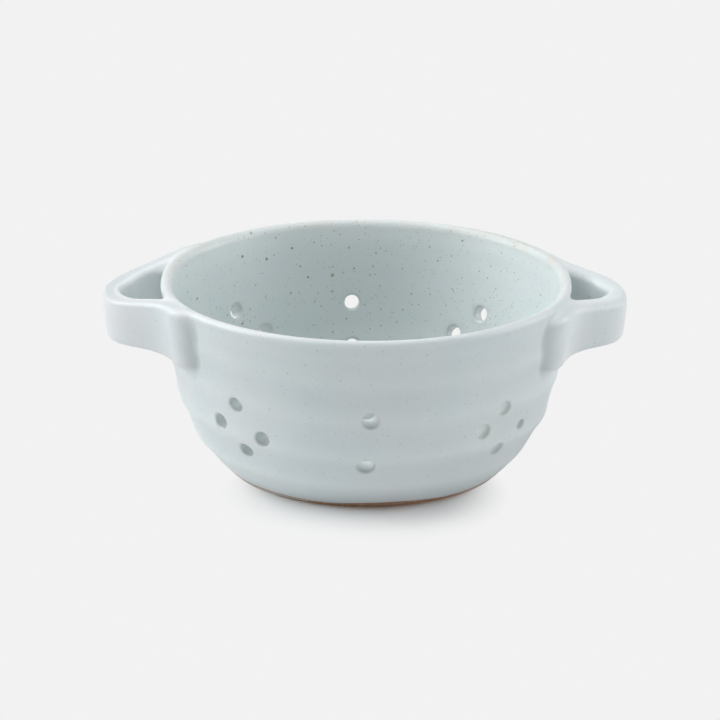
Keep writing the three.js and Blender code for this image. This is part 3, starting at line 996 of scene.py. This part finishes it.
def wallField(x, y, z):
    # distance from the bowl's wall, from its outside alone, and how far out from the crest of the lip: the
    # wall's line with its throwing rings, then the lip's circle outside and its ellipse inside
    turn = np.arctan2(x, -y)
    radius = np.hypot(x, y) + handlePress(turn, z)
    face, out = wallFace(np.interp(z, outsideHeight, fineShare))
    outer = (radius - face[..., 0]) * out[..., 0]
    inner = -outer - wallDepth(np.interp(z, outsideHeight, fineShare))
    outer = outer - outsideRings(turn, z)
    across = (radius - lipMiddle[0]) * leanOut[0] + (z - lipMiddle[1]) * leanOut[1]
    up = (radius - lipMiddle[0]) * leanUp[0] + (z - lipMiddle[1]) * leanUp[1]
    lip = np.hypot(across, up) - bowl["lipRound"]
    wide, tall = easeWidth, bowl["lipEase"]
    upEase = up + tall - bowl["lipRound"]
    eased = np.hypot(across / wide, upEase / tall)
    eased = eased * (eased - 1) / np.maximum(np.hypot(across / wide ** 2, upEase / tall ** 2), 0.001)
    onLip = (up > 0) & (across > 0)
    onEase = (upEase > 0) & (across <= 0)
    wall = np.where(onLip, lip, np.where(onEase, eased, np.maximum(outer, inner)))
    outside = np.where(onLip, lip, np.where(onEase & (up > 0), eased, outer))
    return wall, outside, np.where(upEase > 0, across, np.inf)


def bothFields(handle, path, x, y, z):
    # the strap's field, ended at the crest of the lip, and the wall's with the handle turned to its heading
    turn = math.radians(handle["heading"])
    strapGap, across, gapMelt = strapField(handle, path, x, y, z)
    roomX = x * math.cos(turn) - y * math.sin(turn)
    roomY = x * math.sin(turn) + y * math.cos(turn)
    wallGap, outsideGap, fromCrest = wallField(roomX, roomY, z)
    strapGap = np.maximum(strapGap, -strap["crestEnd"] - fromCrest)
    return strapGap, across, gapMelt, wallGap, outsideGap, fromCrest


def meltedField(handle, path, x, y, z):
    # strap and wall as one: the lesser distance, less the cube of their closeness times a sixth of the melt;
    # only a thin skin of the wall is kept, as far as the strap laps on to it
    strapGap, across, gapMelt, wallGap, outsideGap, fromCrest = bothFields(handle, path, x, y, z)
    wallGap = wallGap + blend(strap["sunk"], between(strapGap, *strap["sunkFar"]))
    melt = strap["melt"]
    high = between(z - bowl["rimHeight"], *strap["meltHigh"])
    outwards = between(across, *strap["meltOut"])
    low = between(z - handle["rootBottom"], *strap["meltFoot"])
    size = blend((gapMelt, melt["gapTop"]), high)
    size = blend((size, melt["side"]), outwards)
    size = blend((size, melt["foot"]), low)
    size = blend((size, handle["topMelt"]), high * outwards)
    size = size * blend((strap["meltLeast"], 1), between(fromCrest, *strap["meltCrest"]))
    close = np.maximum(size - np.abs(strapGap - wallGap), 0) / size
    one = np.minimum(strapGap, wallGap) - close ** 3 * size / 6
    return np.maximum(one, np.maximum(-outsideGap - strap["lapDepth"], strapGap - strap["lap"]))


def skinField(values, low, step):
    # skin of the nought level on a grid: one point in every cell that it passes, at the mean of the crossings
    # of the cell's edges, and one face across every edge of the grid that it cuts
    inside = values < 0
    size = np.array(values.shape) - 1
    corners = [(i, j, k) for i in (0, 1) for j in (0, 1) for k in (0, 1)]

    def corner(array, c):
        # the values at one corner of every cell
        return array[c[0]:c[0] + size[0], c[1]:c[1] + size[1], c[2]:c[2] + size[2]]

    count = sum(corner(inside, c).astype(int) for c in corners)
    mixed = (count > 0) & (count < 8)
    cells = np.argwhere(mixed)
    total = np.zeros((len(cells), 3))
    hits = np.zeros((len(cells), 1))
    for c in corners:
        for axis in range(3):
            if c[axis] == 0:
                step3 = np.eye(3, dtype=int)[axis]
                start = corner(values, c)[mixed]
                end = corner(values, tuple(np.add(c, step3)))[mixed]
                crosses = ((start < 0) != (end < 0))[:, None]
                share = (start / np.where(start == end, 1, start - end))[:, None]
                total += np.where(crosses, np.array(c) + share * step3, 0)
                hits += crosses
    points = np.asarray(low) + step * (cells + total / hits)
    number = np.full(size, -1)
    number[mixed] = np.arange(len(cells))
    faces = []
    for axis in range(3):
        left = np.moveaxis(inside, axis, 0)[:-1, 1:-1, 1:-1]
        right = np.moveaxis(inside, axis, 0)[1:, 1:-1, 1:-1]
        order = np.moveaxis(number, axis, 0)
        if axis == 1:
            order = np.swapaxes(order, 1, 2)
            left, right = np.swapaxes(left, 1, 2), np.swapaxes(right, 1, 2)
        i, j, k = np.nonzero(left != right)
        ring = np.stack([order[i, j, k], order[i, j + 1, k], order[i, j + 1, k + 1], order[i, j, k + 1]], -1)
        outwards = left[i, j, k][:, None]
        faces.append(np.where(outwards, ring, ring[:, ::-1]))
    return points, np.concatenate(faces)


def settle(field, points, rounds=3, reach=0.04, longest=0.3, flattest=0.25):
    # moves points on to the nought level along the field's steepest way, by its differences
    for _ in range(rounds):
        value = np.clip(field(*points.T), -longest, longest)
        ahead, behind = ([field(*(points + way * side).T) for side in np.eye(3)] for way in (reach, -reach))
        steep = (np.stack(ahead, -1) - np.stack(behind, -1)) / (2 * reach)
        steep = steep / np.maximum((steep ** 2).sum(-1, keepdims=True), flattest)
        points = points - value[:, None] * steep
    return points


def makeStrap(handle):
    # the skin of strap and wall melted together, made for a handle along +X and then turned to its heading
    path = strapPath(handle)
    x, y, z = (np.arange(a, b, strap["step"]) for a, b in zip(strap["low"], strap["high"]))
    values = meltedField(handle, path, x[:, None, None], y[None, :, None], z[None, None, :])
    points, faces = skinField(values, strap["low"], strap["step"])
    points = settle(lambda *at: meltedField(handle, path, *at), points)
    turn = math.radians(handle["heading"])
    spin = np.array([[math.cos(turn), math.sin(turn), 0], [-math.sin(turn), math.cos(turn), 0], [0, 0, 1]])
    # the handle's own tints and painted light fade out on the wall, and painted shade lies in the corner
    # between them
    strapGap, across, _, wallGap, _, _ = bothFields(handle, path, *points.T)
    height = points[:, 2]
    onStrap = between(strapGap, *strap["ownTint"])
    corner = between(np.abs(strapGap - wallGap), *strap["deepNear"]) * between(across, *strap["deepOut"])
    corner = corner * between(height - bowl["rimHeight"], *strap["deepHigh"])
    corner = corner * between(height - handle["rootBottom"], *strap["deepFoot"])
    points = points @ spin
    pale, thick = wallTint(points) * (1 - onStrap)
    marks = {
        "inside": 0 * onStrap,
        "thin": 0 * onStrap,
        "paleAndLit": onStrap * blend(handle["paleAndLit"], between(across, *strap["gapTint"])) + pale,
        "rosy": handle["rosy"] * onStrap,
        "deep": strap["deep"] * corner + thick,
    }
    return meshPiece(handle["name"], points, faces.tolist(), marks, glaze)


for handle in handles:
    strapPiece = makeStrap(handle)
    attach(strapPiece, "root")
    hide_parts(handle["node"])


# Table, light and camera

studio = {
    "floor": (0.88, 0.88, 0.88, 1),
    "backdrop": (0.888, 0.888, 0.888, 1),
    "floorSize": 4.0,
    "skyLight": 0.01,
    # name, strength, softness in degrees, direction that the light comes from
    "lamps": [
        ("left_high", 1.60, 60, (-1.0, 0.35, 0.95)),
        ("left", 0.70, 50, (-1.0, 0.0, 0.5)),
        ("left_low", 0.48, 50, (-1.0, 0.0, 0.12)),
        ("left_front", 0.35, 60, (-1.0, -0.5, 0.8)),
        ("right", 1.0, 70, (1.0, 0.0, 0.7)),
        ("right_low", 1.0, 50, (1.0, 0.0, 0.12)),
        ("top", 0.90, 80, (0.0, 0.1, 1.0)),
        ("front", 0.05, 70, (0.0, -1.0, 0.7)),
        ("front_low", 0.31, 60, (0.0, -1.0, 0.05)),
    ],
    # beyond the shadow the camera sees the floor as plain backdrop: middle of the shadow before and behind
    # the bowl, and the distances from it where that begins and ends
    "shadowMiddle": (0.002, 0.037, 0.0),
    "shadowFade": (0.027, 0.053),
}

view = {
    "lens": 175.0,
    "target": (-2.1, 0.0, 38.44),
    "distance": 1291.8,
    "elevation": 18.8,
    "roll": 0.302,
    "sensor": 36.0,
    "clip": (0.01, 20.0),         # in metres
}


def newTree(owner, kinds):
    # an emptied node tree, with new nodes under short names
    owner.use_nodes = True
    tree = owner.node_tree
    tree.nodes.clear()
    return tree, {name: tree.nodes.new("ShaderNode" + kind) for name, kind in kinds.items()}


def joinNodes(tree, nodes, joins):
    # each join is a node and its output, then a node and its input
    for start, output, end, socket in joins:
        tree.links.new(nodes[start].outputs[output], nodes[end].inputs[socket])


def makeFloor():
    # a plain sheet that keeps the shadow
    half = studio["floorSize"] / 2
    corners = [(-half, -half, 0), (half, -half, 0), (half, half, 0), (-half, half, 0)]
    mesh = bpy.data.meshes.new("table")
    mesh.from_pydata(corners, [], [(0, 1, 2, 3)])
    table = bpy.data.objects.new("table", mesh)
    scene.collection.objects.link(table)
    material = bpy.data.materials.new("pale_table")
    tree, nodes = newTree(material, {
        "output": "OutputMaterial", "paper": "BsdfDiffuse", "glow": "Emission", "share": "MixShader",
        "rays": "LightPath", "place": "TexCoord", "either": "VectorMath", "away": "VectorMath",
        "fade": "MapRange", "seen": "Math",
    })
    nodes["either"].operation = "ABSOLUTE"
    nodes["away"].operation = "DISTANCE"
    nodes["away"].inputs[1].default_value = studio["shadowMiddle"]
    nodes["fade"].interpolation_type = "SMOOTHSTEP"
    for end, distance in zip(("From Min", "From Max"), studio["shadowFade"]):
        nodes["fade"].inputs[end].default_value = distance
    nodes["seen"].operation = "MULTIPLY"
    nodes["paper"].inputs["Color"].default_value = studio["floor"]
    nodes["glow"].inputs["Color"].default_value = studio["backdrop"]
    joinNodes(tree, nodes, [
        ("place", "Object", "either", 0), ("either", "Vector", "away", 0),
        ("away", "Value", "fade", "Value"), ("fade", "Result", "seen", 1),
        ("rays", "Is Camera Ray", "seen", 0), ("seen", "Value", "share", "Fac"),
        ("paper", "BSDF", "share", 1), ("glow", "Emission", "share", 2),
        ("share", "Shader", "output", "Surface"),
    ])
    mesh.materials.append(material)


def makeSky():
    # the camera and reflections see the backdrop's colour all round, and the sky hardly lights the bowl
    world = bpy.data.worlds.new("studio")
    scene.world = world
    tree, nodes = newTree(world, {
        "output": "OutputWorld", "light": "Background", "backdrop": "Background", "share": "MixShader",
        "rays": "LightPath", "glossy": "Math", "clear": "Math",
    })
    nodes["glossy"].operation = nodes["clear"].operation = "MAXIMUM"
    nodes["light"].inputs["Color"].default_value = (1, 1, 1, 1)
    nodes["light"].inputs["Strength"].default_value = studio["skyLight"]
    nodes["backdrop"].inputs["Color"].default_value = studio["backdrop"]
    joinNodes(tree, nodes, [
        ("rays", "Is Camera Ray", "glossy", 0), ("rays", "Is Glossy Ray", "glossy", 1),
        ("glossy", "Value", "clear", 0), ("rays", "Is Transmission Ray", "clear", 1),
        ("clear", "Value", "share", "Fac"), ("light", "Background", "share", 1),
        ("backdrop", "Background", "share", 2), ("share", "Shader", "output", "Surface"),
    ])


def makeLamps():
    # each lamp is a sun that shines from its direction, as soft as its angle
    for name, strength, softness, source in studio["lamps"]:
        data = bpy.data.lights.new(name, "SUN")
        data.energy = strength
        data.angle = math.radians(softness)
        lamp = bpy.data.objects.new(name, data)
        lamp.location = Vector(source)
        lamp.rotation_mode = "QUATERNION"
        lamp.rotation_quaternion = Vector(source).to_track_quat("Z", "Y")
        scene.collection.objects.link(lamp)


def makeCamera():
    # on a circle above the front, looking at the target, turned a little about its own line of sight
    data = bpy.data.cameras.new("camera")
    data.lens = view["lens"]
    data.sensor_width = view["sensor"]
    data.clip_start, data.clip_end = view["clip"]
    camera = bpy.data.objects.new("camera", data)
    up = math.radians(view["elevation"])
    back = Vector((0, -math.cos(up), math.sin(up)))
    camera.location = (Vector(view["target"]) + back * view["distance"]) * mm
    camera.rotation_mode = "QUATERNION"
    roll = Quaternion((0, 0, 1), math.radians(view["roll"]))
    camera.rotation_quaternion = (-back).to_track_quat("-Z", "Y") @ roll
    scene.collection.objects.link(camera)
    scene.camera = camera


makeFloor()
makeSky()
makeLamps()
makeCamera()
scene.view_settings.view_transform = "Standard"
print("table, light and camera set")
